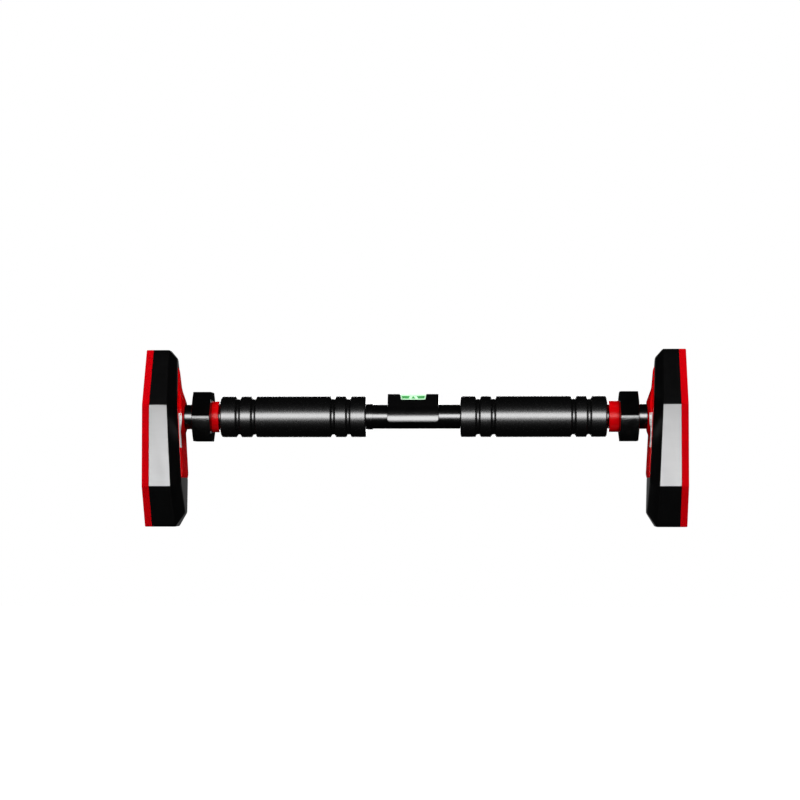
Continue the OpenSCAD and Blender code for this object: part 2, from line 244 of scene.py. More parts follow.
# ---------------------------------------------------------------- materials
def material(name, colour, roughness, metallic=0.0, vary=0.15, colour_scale=60.0, bump=0.05,
             bump_scale=900.0, bump_depth=0.0002, rough_vary=0.06, stretch=(1, 1, 1), ior=1.5,
             transmission=0.0, cells=False, glow=0.0, painted_shading=None):
    """Object-space procedural finish: soft colour drift, roughness drift and a fine surface texture.
    The shading gradient argument is (high z, low z, brightness at high z, brightness at low z): painted
    shade, scaling the colour along z."""
    mat = bpy.data.materials.new(name)
    mat.use_nodes = True
    tree = mat.node_tree
    nodes, links = tree.nodes, tree.links
    nodes.clear()
    out = nodes.new("ShaderNodeOutputMaterial")
    bsdf = nodes.new("ShaderNodeBsdfPrincipled")
    links.new(bsdf.outputs[0], out.inputs["Surface"])
    bsdf.inputs["Metallic"].default_value = metallic
    bsdf.inputs["IOR"].default_value = ior
    bsdf.inputs["Transmission Weight"].default_value = transmission

    where = nodes.new("ShaderNodeTexCoord")
    mapping = nodes.new("ShaderNodeMapping")
    mapping.inputs["Scale"].default_value = stretch
    links.new(where.outputs["Object"], mapping.inputs["Vector"])

    drift = nodes.new("ShaderNodeTexNoise")
    drift.inputs["Scale"].default_value = colour_scale
    drift.inputs["Detail"].default_value = 4
    links.new(mapping.outputs["Vector"], drift.inputs["Vector"])
    tint = nodes.new("ShaderNodeValToRGB")
    tint.color_ramp.elements[0].position = 0.3
    tint.color_ramp.elements[1].position = 0.7
    tint.color_ramp.elements[0].color = (*[c * (1 - vary) for c in colour], 1)
    tint.color_ramp.elements[1].color = (*[min(1, c * (1 + vary)) for c in colour], 1)
    links.new(drift.outputs["Fac"], tint.inputs["Fac"])
    links.new(tint.outputs["Color"], bsdf.inputs["Base Color"])

    if painted_shading:
        # paler towards the bottom, copied from the shading that the photo shows; not a real finish
        split = nodes.new("ShaderNodeSeparateXYZ")
        links.new(where.outputs["Object"], split.inputs[0])
        down = nodes.new("ShaderNodeMapRange")
        down.inputs["From Min"].default_value, down.inputs["From Max"].default_value = painted_shading[0], painted_shading[1]
        down.inputs["To Min"].default_value, down.inputs["To Max"].default_value = painted_shading[2], painted_shading[3]
        links.new(split.outputs["Z"], down.inputs["Value"])
        shade = nodes.new("ShaderNodeVectorMath")
        shade.operation = "SCALE"
        links.new(tint.outputs["Color"], shade.inputs[0])
        links.new(down.outputs["Result"], shade.inputs["Scale"])
        links.new(shade.outputs["Vector"], bsdf.inputs["Base Color"])
    # painted light: the colour is also emitted, so the part glows though it is no lamp
    if glow:
        links.new(tint.outputs["Color"], bsdf.inputs["Emission Color"])
        bsdf.inputs["Emission Strength"].default_value = glow

    rough = nodes.new("ShaderNodeMapRange")
    rough.inputs["To Min"].default_value = max(0.02, roughness - rough_vary)
    rough.inputs["To Max"].default_value = min(1, roughness + rough_vary)
    links.new(drift.outputs["Fac"], rough.inputs["Value"])
    links.new(rough.outputs["Result"], bsdf.inputs["Roughness"])

    if cells:
        grain = nodes.new("ShaderNodeTexVoronoi")
        grain.inputs["Scale"].default_value = bump_scale
        height = grain.outputs["Distance"]
    else:
        grain = nodes.new("ShaderNodeTexNoise")
        grain.inputs["Scale"].default_value = bump_scale
        grain.inputs["Detail"].default_value = 3
        height = grain.outputs["Fac"]
    links.new(mapping.outputs["Vector"], grain.inputs["Vector"])
    relief = nodes.new("ShaderNodeBump")
    relief.inputs["Strength"].default_value = bump
    relief.inputs["Distance"].default_value = bump_depth
    links.new(height, relief.inputs["Height"])
    links.new(relief.outputs["Normal"], bsdf.inputs["Normal"])
    return mat


BLACK_COAT = material("black_powder_coat", (0.0013, 0.0013, 0.0015), 0.2, bump=0.08, bump_scale=700,
                      ior=1.5, rough_vary=0.02)
FOAM = material("foam_black", (0.0013, 0.0013, 0.0014), 0.27, vary=0.25, colour_scale=250, bump=0.015,
                bump_scale=1500, bump_depth=0.0001, ior=1.5, cells=True, rough_vary=0.03)
BLACK_PLASTIC = material("black_gloss_plastic", (0.0013, 0.0013, 0.0014), 0.2, bump=0.05, bump_scale=500,
                         ior=1.5, rough_vary=0.02)
KNOB_BLACK = material("black_knob_plastic", (0.0013, 0.0013, 0.0014), 0.13, bump=0.15, bump_scale=1400,
                       ior=1.5)
SHELL_BLACK = material("black_shell_plastic", (0.0009, 0.0009, 0.0010), 0.3, bump=0.05, bump_scale=500,
                       ior=1.27, rough_vary=0.02)
RED_PLASTIC = material("red_gloss_plastic", (0.72, 0.0008, 0.003), 0.22, vary=0.05, bump=0.06,
                       bump_scale=500, ior=1.13, rough_vary=0.02)
RED_RUBBER = material("red_rubber", (0.66, 0.0004, 0.004), 0.6, vary=0.05, bump=0.3, bump_scale=1800,
                      ior=1.02)
# the silver trims carry painted shade: their colour runs paler towards the bottom
SILVER = material("silver_satin", (0.60, 0.60, 0.605), 0.45, metallic=0.0, vary=0.04, colour_scale=40,
                  bump=0.2, bump_scale=900, stretch=(0.15, 1, 1), ior=1.2, painted_shading=(0.018, -0.112, 0.72, 1.22))
PLATED = material("plated_steel", (0.55, 0.55, 0.57), 0.24, metallic=1.0, vary=0.08, bump=0.2,
                  bump_scale=900, stretch=(6, 1, 1))
BARE_STEEL = material("bare_steel", (0.42, 0.42, 0.43), 0.4, metallic=1.0, vary=0.15, bump=0.3,
                      bump_scale=600)
ACETAL = material("acetal_white", (0.72, 0.71, 0.66), 0.4, vary=0.04, bump=0.1)
# the clear vial glows a little: painted light
VIAL = material("vial_clear_green", (0.62, 0.98, 0.66), 0.12, vary=0.02, bump=0.02, ior=1.06, glow=0.3)
LIQUID = material("vial_liquid_green", (0.07, 0.45, 0.10), 0.05, vary=0.04, bump=0.02, transmission=0.3,
                  ior=1.36)
# the green marks glow a little too: painted light
MARK_GREEN = material("vial_mark_green", (0.075, 0.42, 0.11), 0.3, vary=0.05, bump=0.02, ior=1.06,
                      glow=0.15)
WHITE_PRINT = material("white_print", (0.85, 0.85, 0.85), 0.4, vary=0.02, bump=0.1)
SLOT_MATERIALS = {
    "black_coat": BLACK_COAT, "foam": FOAM, "black_plastic": BLACK_PLASTIC, "red_plastic": RED_PLASTIC,
    "red_rubber": RED_RUBBER, "silver_plastic": SILVER, "plated_steel": PLATED,
    "bare_steel": BARE_STEEL, "acetal": ACETAL, "clear_green": VIAL, "green_liquid": LIQUID,
}
SLOT_OF = {part["node"]: part["material_slot"] for part in frame["record"]["subparts"]}
for part in frame["record"]["subparts"]:
    node = frame["nodes"][part["node"]]
    for material_slot in node.material_slots:
        material_slot.material = SLOT_MATERIALS[part["material_slot"]]

# ---------------------------------------------------------------- the tube
inner_low, inner_high, inner_size = size_of("centre_tube")
outer_low, outer_high, outer_size = size_of("left_outer_tube")
TUBE_R, SLEEVE_R = inner_size.z / 2, outer_size.z / 2
TUBE_BORE = TUBE_R - 1.5 * MM
SLEEVE_BORE = TUBE_R + RUNNING_CLEARANCE
EDGE = 0.6 * MM


def tube(name, x0, x1, r_out, r_in, edge=EDGE):
    return lathe(name, [(x0, r_in, 0), (x0, r_out, edge), (x1, r_out, edge), (x1, r_in, 0)], 128)


place(tube("inner_tube", inner_low.x, inner_high.x, TUBE_R, TUBE_BORE), "bar", BLACK_COAT,
      ["centre_tube"])
place(tube("outer_tube", outer_low.x, outer_high.x, SLEEVE_R, SLEEVE_BORE, 0.9 * MM), "bar", BLACK_COAT,
      ["left_outer_tube"])


# ---------------------------------------------------------------- foam grips
def groove_profile(centre, r):
    """A ring groove with soft shoulders and a narrow round floor."""
    half_top, half_floor, depth = 4.3 * MM, 1.3 * MM, 4.2 * MM
    return [(centre - half_top, r, 1.3 * MM), (centre - half_floor, r - depth, 1.2 * MM),
            (centre + half_floor, r - depth, 1.2 * MM), (centre + half_top, r, 1.3 * MM)]


def foam_grip(name, node, hole_r):
    low, high, size = size_of(node)
    r, x0, x1 = size.z / 2, low.x, high.x
    inner_end = x0 if x0 > 0 else x1
    outer_end = x1 if x0 > 0 else x0
    away = 1 if x0 > 0 else -1
    places = (28.6 * MM, 53.3 * MM, size.x - 53.3 * MM, size.x - 28.6 * MM)
    centres = sorted(inner_end + away * p for p in places)
    profile = [(x0, hole_r, 0.5 * MM), (x0, r, 4.0 * MM)]
    for centre in centres:
        profile += groove_profile(centre, r)
    profile += [(x1, r, 4.0 * MM), (x1, hole_r, 0.5 * MM)]
    obj = lathe(name, profile, 160, steps=6, smooth_deg=50)
    # soft foam is never quite round or even: a slow swell of a few hundredths of a millimetre
    for v in obj.data.vertices:
        radial = Vector((0, v.co.y, v.co.z))
        if radial.length > hole_r + 2 * MM:
            turn = math.atan2(v.co.z, v.co.y)
            swell = 0.05 * MM * (math.sin(3 * turn + v.co.x * 31) + math.sin(v.co.x * 97 + 1.3)) - 0.1 * MM
            v.co += radial.normalized() * swell
    return obj


place(foam_grip("grip_left", "left_grip", SLEEVE_R), "bar", FOAM, ["left_grip"])
place(foam_grip("grip_right", "right_grip", TUBE_R), "bar", FOAM, ["right_grip"])


# ---------------------------------------------------------------- lock rings
for name, side in SIDES:
    low, high, size = size_of(f"{name}_lock_ring")
    r = size.z / 2
    bore = ROD_R + RUNNING_CLEARANCE
    ring = lathe(f"lock_ring_{name}", [
        (low.x, bore, 0.6 * MM), (low.x, r, 0.9 * MM), (high.x, r, 0.9 * MM), (high.x, bore, 0.6 * MM)
    ], 128, steps=4)
    place(ring, f"{name}_lock", RED_PLASTIC, [f"{name}_lock_ring"])


# ---------------------------------------------------------------- hexagonal hand knobs
def hex_loop(across_flats, corner_radius, steps=5, side_steps=5):
    """A rounded hexagon as (y, z) points, with corners towards -Y and +Y."""
    r = across_flats / math.sqrt(3)
    corners = [(r * math.cos(math.radians(60 * k)), r * math.sin(math.radians(60 * k))) for k in range(6)]
    return rounded_loop(corners, [corner_radius] * 6, steps, side_steps)


def knob(name, node, side):
    u0, u1 = u_span(side, node)
    flats = size_of(node)[2].z
    loop = hex_loop(flats, 1.6 * MM)
    face_r, chamfer = flats / 2 - 9.5 * MM, 1.25 * MM
    bore, rod, recess_r = JOURNAL_R, ROD_R, 25.3 * MM
    u_shoulder, u_recess = u0 + 6 * MM, u1 - 6 * MM
    profiles = []
    for p in loop:
        reach = p.length
        run = chamfer * (reach - face_r) / (flats / 2 - face_r)
        profiles.append((p.normalized(), fillet([
            (u0, bore, 0), (u0, face_r, 0.8 * MM), (u0 + run, reach, 0.9 * MM),
            (u1 - run, reach, 0.9 * MM), (u1, face_r, 0.8 * MM), (u1, recess_r, 0.8 * MM),
            (u_recess, recess_r, 0), (u_recess, rod, 0), (u_shoulder, rod, 0), (u_shoulder, bore, 0)
        ], steps=4)))
    bm = bmesh.new()
    loops = [[to_side(side, points[k][0], way.x * points[k][1], way.y * points[k][1])
              for way, points in profiles] for k in range(len(profiles[0][1]))]
    add_loops(bm, loops)
    return finish_mesh(name, bm, 24)


for name, side in SIDES:
    place(knob(f"knob_{name}", f"{name}_knob", side), f"{name}_screw", KNOB_BLACK,
          [f"{name}_knob"])


# ---------------------------------------------------------------- lead screws with real right-hand threads
LEAD = 5.0 * MM
THREAD_STEPS = 40


def lead_screw(name, node, side):
    u_start, u_end = u_span(side, node)
    root_r, bore_r = 13.4 * MM, 12 * MM
    u_groove = u_span(side, node.replace("screw_rod", "retaining_ring"))
    u_shoulder = u_span(side, node.replace("screw_rod", "knob"))[0] + 6 * MM
    u_solid = u_span(side, node.replace("screw_rod", "knob"))[1] + 8 * MM
    bm = bmesh.new()
    core = fillet([
        (u_start, 0, 0), (u_start, JOURNAL_R, 1 * MM), (u_groove[0], JOURNAL_R, 0),
        (u_groove[0], JOURNAL_R - MM, 0), (u_groove[1], JOURNAL_R - MM, 0), (u_groove[1], JOURNAL_R, 0),
        (u_shoulder, JOURNAL_R, 0), (u_shoulder, root_r, 0), (u_end, root_r, 0.4 * MM), (u_end, bore_r, 0),
        (u_solid, bore_r, 0), (u_solid, 0, 0)
    ], closed=False, steps=3)
    add_lathe(bm, [(side * (WALL_X - p[0]), p[1]) for p in core], 96)
    # the ridge: one closed ribbon wound along the core
    x_a, x_b = sorted((side * (WALL_X - u_shoulder), side * (WALL_X - u_end)))
    turns = (x_b - x_a - LEAD) / LEAD
    sections = []
    for k in range(int(turns * THREAD_STEPS) + 1):
        turn = k / THREAD_STEPS
        angle = 2 * math.pi * turn
        x = x_a + LEAD / 2 + turn * LEAD
        section = []
        for dx, r in ((-1.9, root_r - 0.3 * MM), (-0.75, ROD_R), (0.75, ROD_R), (1.9, root_r - 0.3 * MM)):
            section.append((x + dx * MM, r * math.cos(angle), r * math.sin(angle)))
        sections.append(section)
    add_loops(bm, sections, closed_profile=False, cap=True)
    return finish_mesh(name, bm, 32)


for name, side in SIDES:
    place(lead_screw(f"lead_screw_{name}", f"{name}_screw_rod", side), f"{name}_screw", PLATED,
          [f"{name}_screw_rod"])


# ---------------------------------------------------------------- neck bushes
for name, side in SIDES:
    u0, u1 = u_span(side, f"{name}_neck_bush")
    r, bore = radius_of(f"{name}_neck_bush"), JOURNAL_R + RUNNING_CLEARANCE
    neck = lathe(f"neck_bush_{name}", [
        (u0, bore, 0.5 * MM), (u0, r, 0.8 * MM), (u1, r, 0.8 * MM), (u1, bore, 0.5 * MM)
    ], 112, side=side, steps=4)
    place(neck, f"{name}_neck", BLACK_PLASTIC, [f"{name}_neck_bush"])


# ---------------------------------------------------------------- wall pads
pad_low, pad_high, pad_size = size_of("left_wall_pad")
RUBBER_T = pad_size.x
HALF_W = pad_high.y
TOP, BOTTOM = pad_high.z, pad_low.z
trim_low, trim_high, _ = size_of("left_side_trims")
OUTLINE = [(13 * MM, TOP), (-13 * MM, TOP), (-HALF_W, 18 * MM), (-HALF_W, -112 * MM),
           (-24 * MM, BOTTOM), (24 * MM, BOTTOM), (HALF_W, -112 * MM), (HALF_W, 18 * MM)]
FACE = [(7 * MM, 94 * MM), (-7 * MM, 94 * MM)] + inset(OUTLINE, 22 * MM)[2:]
CORNER_STEPS, SIDE_STEPS = 4, 8


def crest_u(z):
    return max(40.6 * MM - 0.048 * z, 36.5 * MM)


def face_u(z):
    return 54.2 * MM - 0.06 * z


def pad_loop(corners, radius):
    return rounded_loop(corners, [radius] * len(corners), CORNER_STEPS, SIDE_STEPS)


def circle_like(loop, r):
    """Points on a circle about the bar's axis, each in the direction of the loop's own point."""
    return [Vector(p).normalized() * r for p in loop]


def profile_loops(side, columns, steps):
    """columns: one list of (u, y, z, fillet) for each point round the pad; returns loops to join up."""
    done = [fillet(c, steps=steps) for c in columns]
    return [[to_side(side, *done[i][k]) for i in range(len(done))] for k in range(len(done[0]))]


def rubber_pad(name, side):
    outer = pad_loop(OUTLINE, 2.5 * MM)
    field = pad_loop(inset(OUTLINE, 7 * MM), 2.0 * MM)
    floor = pad_loop(inset(OUTLINE, 8 * MM), 2.0 * MM)
    bm = bmesh.new()
    loops = [
        [to_side(side, RUBBER_T, *p) for p in pad_loop(inset(OUTLINE, 0.4 * MM), 2.2 * MM)],
        [to_side(side, RUBBER_T - 0.4 * MM, *p) for p in outer],
        [to_side(side, 1.3 * MM, *p) for p in outer],
        [to_side(side, 0.5 * MM, *p) for p in pad_loop(inset(OUTLINE, 0.35 * MM), 2.4 * MM)],
        [to_side(side, 0, *p) for p in pad_loop(inset(OUTLINE, 1.2 * MM), 2.2 * MM)],
        [to_side(side, 0, *p) for p in field],
        [to_side(side, 2 * MM, *p) for p in floor],
    ]
    add_loops(bm, loops, closed_profile=False, cap=True)
    # moulded grip bars on the wall face
    limit = inset(OUTLINE, 10 * MM)
    z = limit[4][1] + 4 * MM
    top = limit[0][1] - 4 * MM
    while z < top:
        half = half_width(limit, z)
        bar_h = 2.2 * MM
        if half > 6 * MM:
            section = [(2.6 * MM, -bar_h), (0.4 * MM, -bar_h), (0, -bar_h + 0.4 * MM),
                       (0, bar_h - 0.4 * MM), (0.4 * MM, bar_h), (2.6 * MM, bar_h)]
            ends = []
            for y, shrink in ((-half, 1), (-half + 0.6 * MM, 0), (half - 0.6 * MM, 0), (half, 1)):
                ends.append([to_side(side, u + (0.5 * MM if shrink and u < MM else 0), y,
                                     z + dz * (0.8 if shrink else 1)) for u, dz in section])
            add_loops(bm, ends, closed_profile=False, cap=True)
        z += 8 * MM
    return finish_mesh(name, bm, 35)


def half_width(outline, z):
    """Half the width of an outline at height z."""
    best = 0.0
    for i, p in enumerate(outline):
        q = outline[(i + 1) % len(outline)]
        if min(p[1], q[1]) <= z <= max(p[1], q[1]) and abs(p[1] - q[1]) > 1e-9:
            t = (z - p[1]) / (q[1] - p[1])
            best = max(best, p[0] + t * (q[0] - p[0]))
    return best


def pad_shell(name, side):
    hub_r, hub_bore, hub_top = 22 * MM, 15.5 * MM, 54.4 * MM
    u_hub0 = u_span(side, f"{name}_thrust_washer")[0]
    outer = pad_loop(OUTLINE, 3.0 * MM)
    face = pad_loop(FACE, 5.0 * MM)
    deep = pad_loop(inset(FACE, 3 * MM), 4.0 * MM)
    wall = pad_loop(inset(OUTLINE, 3.2 * MM), 2.0 * MM)
    roof = pad_loop(inset(FACE, 1.6 * MM), 3.0 * MM)
    hub, bore = circle_like(deep, hub_r), circle_like(deep, hub_bore)
    base = RUBBER_T + 0.02 * MM
    roof_t = 3.2 * MM
    columns = []
    for i in range(len(outer)):
        o, f, d, h, b, w, r = (Vector(v[i]) for v in (outer, face, deep, hub, bore, wall, roof))
        columns.append([
            (base, *o, 0.5 * MM), (crest_u(o.y), *o, 3.0 * MM), (face_u(f.y), *f, 7.0 * MM),
            (face_u(h.y), *h, 0), (hub_top, *h, 0.5 * MM), (hub_top, *b, 0.3 * MM), (u_hub0, *b, 0),
            (u_hub0, *h, 0), (face_u(h.y) - roof_t, *h, 0), (face_u(r.y) - roof_t, *r, 0),
            (crest_u(w.y) - 1.4 * MM, *w, 0), (base, *w, 0)
        ])
    bm = bmesh.new()
    add_loops(bm, profile_loops(side, columns, 5))
    for y in (-1, 1):
        for z, out in ((35, 20), (-45, 30), (-105, 30)):
            top = face_u(z * MM) - roof_t / 2
            pilot, boss = 1.9 * MM, 5 * MM
            pilot_end = u_hub0 + 14 * MM
            post = [(pilot_end, 0), (pilot_end, pilot), (u_hub0, pilot), (u_hub0, boss), (top, boss),
                    (top, 0)]
            add_lathe(bm, [(side * (WALL_X - u), r) for u, r in post], 24,
                      (y * out * MM, z * MM))
    shell = finish_mesh(f"pad_shell_{name}", bm, 26)
    z1, z0 = trim_high.z + 0.25 * MM, trim_low.z - 0.25 * MM
    corners = [(RUBBER_T - 1 * MM, z1), (crest_u(z1) - 0.35 * MM, z1), (crest_u(z0) - 0.35 * MM, z0),
               (RUBBER_T - 1 * MM, z0)]
    for s in (-1, 1):
        bm = bmesh.new()
        ring = rounded_loop(corners, [0.9 * MM] * 4, 3, 1)
        ends = sorted((s * (HALF_W - 1.25 * MM), s * (HALF_W + 2 * MM)))
        add_loops(bm, [[to_side(side, p.x, y, p.y) for p in ring] for y in ends],
                  closed_profile=False, cap=True)
        boolean_cut(shell, finish_mesh("trim_cutter", bm))
    return shell


COVER_TOP, COVER_BOTTOM, COVER_INSET = 80 * MM, -98 * MM, 22.5 * MM
# the cover's rim: millimetres in from its edge, and height above the shell's face
RIM = ((0.0, 0.06), (0.1, 0.5), (1.6, 1.0), (4.2, 1.9), (6.0, 2.3))


def cover_corners(d):
    """The cover's outline moved in by d, following the pad's sides above and flat across below."""
    followed = inset(OUTLINE, COVER_INSET + d)
    at_top = half_width(followed, COVER_TOP - d)
    side_y, hip_z = followed[7]
    return [(max(at_top, 1.5 * MM), COVER_TOP - d), (-max(at_top, 1.5 * MM), COVER_TOP - d),
            (-side_y, hip_z), (-side_y, COVER_BOTTOM + d), (side_y, COVER_BOTTOM + d), (side_y, hip_z)]


CONE_TOP_U, CONE_TOP_R = 62 * MM, 25 * MM


def cover_u(y, z):
    """The cover's outer surface: a low plate that rises to a cone round the neck."""
    plate = face_u(z) + RIM[-1][1] * MM
    cone = CONE_TOP_U - max(0.0, math.hypot(y, z) - CONE_TOP_R) * (10 / 27)
    blend = 1.2 * MM
    h = max(0.0, blend - abs(plate - cone)) / blend
    return max(plate, cone) + h * h * blend / 4


def pad_cover(name, side):
    def loop_at(d):
        return rounded_loop(cover_corners(d), [3 * MM] * 6, 4, 12)
    hole_r, top_r, under_r = 20.4 * MM, CONE_TOP_R, 23 * MM
    rings = []
    lift, pocket_u = RIM[0][1] * MM, 56.9 * MM
    for d, height in RIM[:-1]:
        rings.append([(face_u(p.y) + height * MM, *p) for p in loop_at(d * MM)])
    first = loop_at(RIM[-1][0] * MM)
    last = circle_like(first, top_r)
    count = 14
    for k in range(count + 1):
        t = k / count
        ring = [a.lerp(b, t) for a, b in zip(first, last)]
        rings.append([(min(cover_u(*p), CONE_TOP_U), *p) for p in ring])
    rings.append([(CONE_TOP_U, *p) for p in circle_like(first, hole_r + 0.6 * MM)])
    rings.append([(CONE_TOP_U - 0.6 * MM, *p) for p in circle_like(first, hole_r)])
    rings.append([(pocket_u, *p) for p in circle_like(first, hole_r)])
    rings.append([(pocket_u, *p) for p in circle_like(first, under_r)])
    rings.append([(face_u(p.y) + lift, *p) for p in circle_like(first, under_r)])
    bm = bmesh.new()
    add_loops(bm, [[to_side(side, *p) for p in ring] for ring in rings])
    return finish_mesh(f"pad_cover_{name}", bm, 30)


def surface_u(d, y, z):
    """The cover's outer surface at (y, z), a distance d in from its edge, in millimetres."""
    for (d0, u0), (d1, u1) in zip(RIM[:-1], RIM[1:-1]):
        if d <= d1:
            return face_u(z) + (u0 + (u1 - u0) * (d - d0) / (d1 - d0)) * MM
    top = min(cover_u(y, z), CONE_TOP_U)
    if d >= RIM[-1][0]:
        return top
    t = (d - RIM[-2][0]) / (RIM[-1][0] - RIM[-2][0])
    return (face_u(z) + RIM[-2][1] * MM) * (1 - t) + top * t


def pinstripe(name, side):
    """A plain printed line along the front of the cover."""
    edge_y = -half_width(cover_corners(0), -20 * MM)
    lift = 0.12 * MM
    rows_down, rows_across = 32, 14
    bm = bmesh.new()
    rows = []
    for k in range(rows_down + 1):
        t = k / rows_down
        z = (5 - 55 * t) * MM
        near, far = 2.2 - 1.6 * t, 6.2 + 4.8 * t
        across = [near + (far - near) * i / rows_across for i in range(rows_across + 1)]
        spots = [(d, edge_y + d * MM, z) for d in across]
        rows.append([(surface_u(*p) + lift, p[1], z) for p in spots]
                    + [(surface_u(*p) - 0.25 * MM, p[1], z) for p in reversed(spots)])
    add_loops(bm, [[to_side(side, *p) for p in row] for row in rows], closed_profile=False, cap=True)
    return finish_mesh(f"pinstripe_{name}", bm, 30)


def side_trims(name, side):
    thick = 1.2 * MM
    u0 = RUBBER_T + 0.4 * MM
    z1, z0 = trim_high.z, trim_low.z
    corners = [(u0, z1), (crest_u(z1) - 0.6 * MM, z1), (crest_u(z0) - 0.6 * MM, z0), (u0, z0)]
    bm = bmesh.new()
    for s in (-1, 1):
        loops = []
        for d, y in ((0.0, HALF_W - thick), (0.0, HALF_W - 0.25 * MM), (0.07 * MM, HALF_W - 0.08 * MM),
                     (0.25 * MM, HALF_W)):
            ring = rounded_loop(inset(corners, d), [0.8 * MM] * 4, 3, 4)
            loops.append([to_side(side, p.x, s * y, p.y) for p in ring])
        add_loops(bm, loops, closed_profile=False, cap=True)
    return finish_mesh(f"side_trims_{name}", bm, 30)


for name, side in SIDES:
    body = f"{name}_pad"
    place(rubber_pad(f"wall_pad_{name}", side), body, RED_RUBBER, [f"{name}_wall_pad"])
    place(pad_shell(name, side), body, SHELL_BLACK, [f"{name}_pad_shell"])
    place(pad_cover(name, side), body, RED_PLASTIC, [f"{name}_pad_cover"])
    place(pinstripe(name, side), body, WHITE_PRINT)
    place(side_trims(name, side), body, SILVER, [f"{name}_side_trims"])

# ---------------------------------------------------------------- level
clip_low, clip_high, _ = size_of("level_clip")
vial_low, vial_high, _ = size_of("level_vial")
liquid_low, liquid_high, liquid_size = size_of("vial_liquid")
CLIP_Z, CLIP_R, LIP_Z = -4.1 * MM, 30 * MM, clip_low.z
CLIP_TOP = clip_high.z


def clip_loop(d, lift=0.0):
    """The level clip's section moved in by d: hump, skirt, lips and the bore that grips the tube."""
    r, bore = CLIP_R - d, TUBE_R + 0.05 * MM + d
    lip = LIP_Z + d + lift
    right = fillet([(0, CLIP_TOP - d, 0), (11 * MM - d, CLIP_TOP - d, 3 * MM),
                    (23 * MM - d, 15 * MM, 3 * MM),
                    (r * math.cos(math.radians(30)), CLIP_Z + r * math.sin(math.radians(30)), 0)],
                   closed=False, steps=5)[1:]
    low_angle = math.degrees(math.asin((lip + 1.5 * MM - CLIP_Z) / r))
    for k in range(1, 15):
        a = math.radians(30 + (low_angle - 30) * k / 14)
        right.append(Vector((r * math.cos(a), CLIP_Z + r * math.sin(a))))
    lip_in = math.sqrt(bore ** 2 - lip ** 2)
    right += fillet([(*right[-1], 0), (r * 0.975, lip, 1.5 * MM), (lip_in + 1 * MM, lip, 1 * MM),
                     (math.sqrt(bore ** 2 - (lip + 1.2 * MM) ** 2), lip + 1.2 * MM, 0)],
                    closed=False, steps=4)[1:]
    start = math.asin((lip + 1.2 * MM) / bore)
    inner = []
    for k in range(1, 24):
        a = start + (math.pi / 2 - start) * k / 24
        inner.append(Vector((bore * math.cos(a), bore * math.sin(a))))
    half = right + inner
    mid = Vector((0, bore))
    left_inner = [Vector((-p.x, p.y)) for p in reversed(half)]
    return half + [mid] + left_inner + [Vector((0, CLIP_TOP - d))]


def level_clip():
    bm = bmesh.new()
    loops = []
    x0, x1 = clip_low.x, clip_high.x
    ends = []
    corner_r = 4.5
    for dx, d in ((0.0, 0.7), (0.2, 0.25), (0.5, 0.06), (0.9, 0.0), (1.5, 0.0), (2.3, 0.0), (3.2, 0.0),
                  (corner_r, 0.0)):
        lift = corner_r - math.sqrt(corner_r ** 2 - (corner_r - dx) ** 2)
        ends.append((dx * MM, d * MM, lift * MM))
    for dx, d, lift in ends:
        loops.append([(x0 + dx, p.x, p.y) for p in clip_loop(d, lift)])
    for dx, d, lift in reversed(ends):
        loops.append([(x1 - dx, p.x, p.y) for p in clip_loop(d, lift)])
    add_loops(bm, loops, closed_profile=False, cap=True)
    obj = finish_mesh("level_body", bm, 30)
    # the window for the spirit level
    centre = (x0 + x1) / 2
    half, floor = 21.5 * MM, 26.8 * MM
    corners = [(-half + 2 * MM, floor), (half - 2 * MM, floor), (half + 0.35 * MM, CLIP_TOP + 3 * MM),
               (-half - 0.35 * MM, CLIP_TOP + 3 * MM)]
    bm = bmesh.new()
    loop = rounded_loop(corners, [0.8 * MM] * 4, 3, 1)
    add_loops(bm, [[(centre + p.x, y, p.y) for p in loop] for y in (-40 * MM, 40 * MM)],
              closed_profile=False, cap=True)
    boolean_cut(obj, finish_mesh("window_cutter", bm))
    return obj


place(level_clip(), "level", BLACK_PLASTIC, ["level_clip"])


def level_vial():
    x0, x1 = vial_low.x, vial_high.x
    half_y, z0, z1 = vial_high.y - 0.3 * MM, vial_low.z, vial_high.z
    slope = 1.7 * MM
    bm = bmesh.new()
    loops = []
    for y, d in ((-half_y, 0.3), (-half_y + 0.3 * MM, 0), (half_y - 0.3 * MM, 0), (half_y, 0.3)):
        corners = inset([(x0 + slope, z0), (x1 - slope, z0), (x1, z1), (x0, z1)], d * MM + 1e-6)
        loops.append([(p.x, y, p.y) for p in rounded_loop(corners, [0.5 * MM] * 4, 3, 1)])
    add_loops(bm, loops, closed_profile=False, cap=True)
    return finish_mesh("level_vial_block", bm)


def vial_cylinder():
    """The liquid fills the bore of the block."""
    x0, x1 = liquid_low.x, liquid_high.x
    z, r = (liquid_low.z + liquid_high.z) / 2, liquid_size.z / 2
    bm = bmesh.new()
    add_lathe(bm, [(p[0], p[1]) for p in fillet([(x0, 0, 0), (x0, r - 0.02 * MM, 0.4 * MM),
              (x1, r - 0.02 * MM, 0.4 * MM), (x1, 0, 0)], closed=False)], 48, (0, z))
    return finish_mesh("level_liquid", bm)


